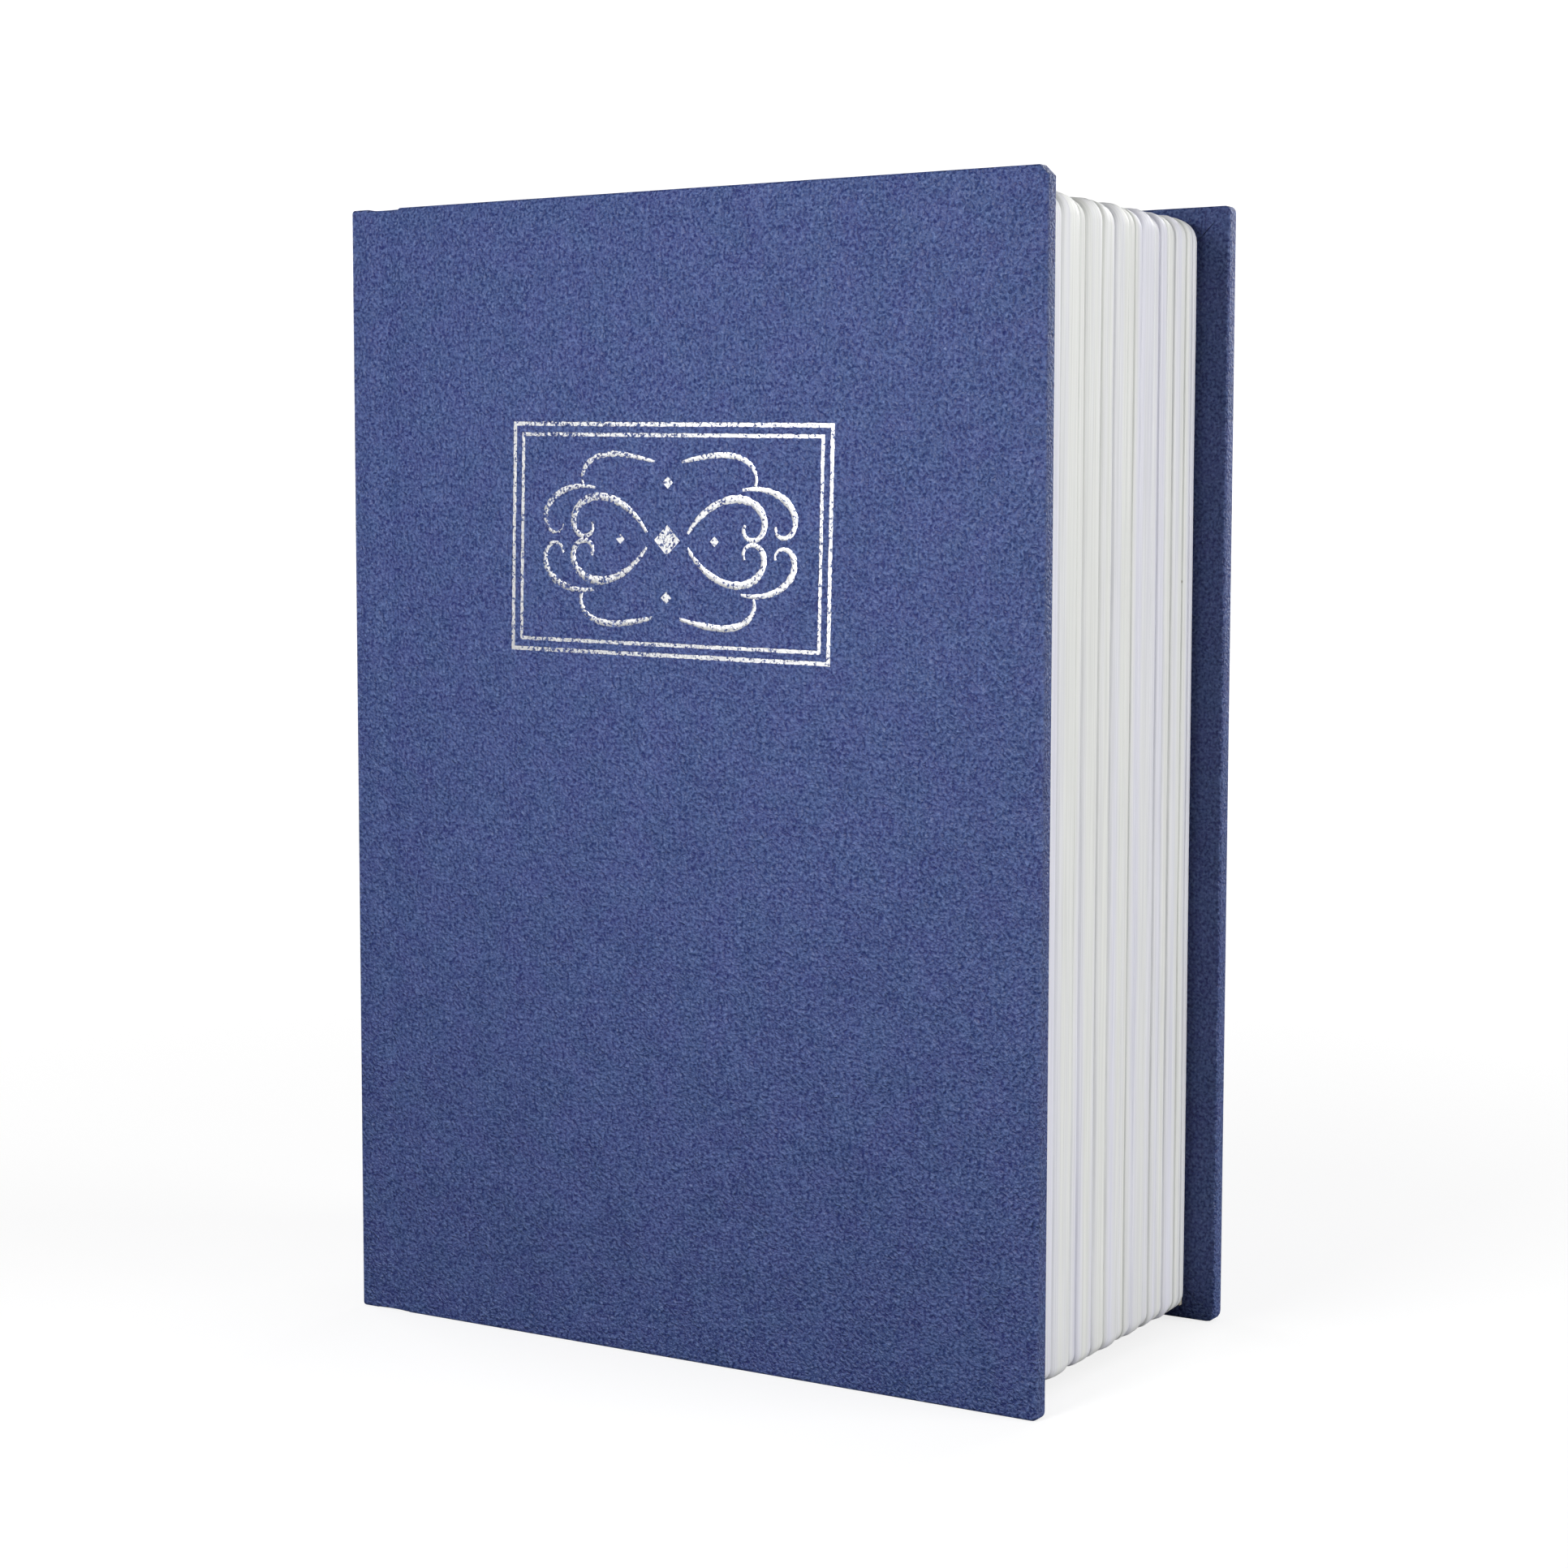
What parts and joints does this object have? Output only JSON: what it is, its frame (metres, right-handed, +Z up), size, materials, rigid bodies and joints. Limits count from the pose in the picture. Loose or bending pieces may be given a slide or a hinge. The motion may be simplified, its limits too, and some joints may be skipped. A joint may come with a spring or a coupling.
{
  "type": "book diversion safe",
  "caption": "Small safe disguised as a closed cloth-bound book: hinged cover, moulded page block, steel box with key-locked door.",
  "frame": {"origin": "centre of the bottom of the closed book, which stands on its tail", "axes": "+Z up from tail to head, +X from the spine to the fore-edge, +Y from the front cover to the back cover"},
  "size_m": [0.08, 0.043, 0.115],
  "materials": {
    "leatherette": "grained blue leatherette",
    "greyboard": "plain",
    "lining_paper": "matt",
    "cream_card": "matt",
    "page_moulding": "satin white moulding",
    "box_enamel": "fine textured black",
    "zinc_steel": "zinc plated",
    "lock_nickel": "bright nickel plate",
    "wafer_brass": "stamped"
  },
  "bodies": {
    "case": {"case_leatherette": "leatherette", "spine_board": "greyboard", "spine_lining": "lining_paper", "back_cover_board": "greyboard", "back_pastedown": "lining_paper", "backing_sheet": "cream_card", "page_block": "page_moulding", "steel_box": "box_enamel", "hinge_pin": "zinc_steel"},
    "front_cover": {"front_cover_board": "greyboard", "front_cover_leatherette": "leatherette", "front_pastedown": "lining_paper"},
    "door": {"box_door": "box_enamel", "lock_housing": "lock_nickel", "lock_washer": "zinc_steel", "lock_nut": "zinc_steel"},
    "lock": {"lock_plug": "lock_nickel", "lock_wafer_1": "wafer_brass", "lock_wafer_2": "wafer_brass", "lock_wafer_3": "wafer_brass", "lock_wafer_4": "wafer_brass", "stop_washer": "zinc_steel", "lock_cam": "zinc_steel", "cam_screw": "zinc_steel"}
  },
  "joints": [
    {"name": "cover_hinge", "type": "hinge", "parent": "case", "child": "front_cover", "pos_m": [-0.0359, -0.02175, 0.0575], "axis": [0, 0, -1], "range_deg": [0, 180]},
    {"name": "door_hinge", "type": "hinge", "parent": "case", "child": "door", "pos_m": [-0.0289, -0.0151, 0.0575], "axis": [0, 0, -1], "range_deg": [0, 100]},
    {"name": "lock_turn", "type": "hinge", "parent": "door", "child": "lock", "pos_m": [0.016, -0.0187, 0.0575], "axis": [0, -1, 0], "range_deg": [0, 90]}
  ],
  "couplings": [
    {"joint": "door_hinge", "follows": "cover_hinge", "ratio": 0.5555}
  ]
}
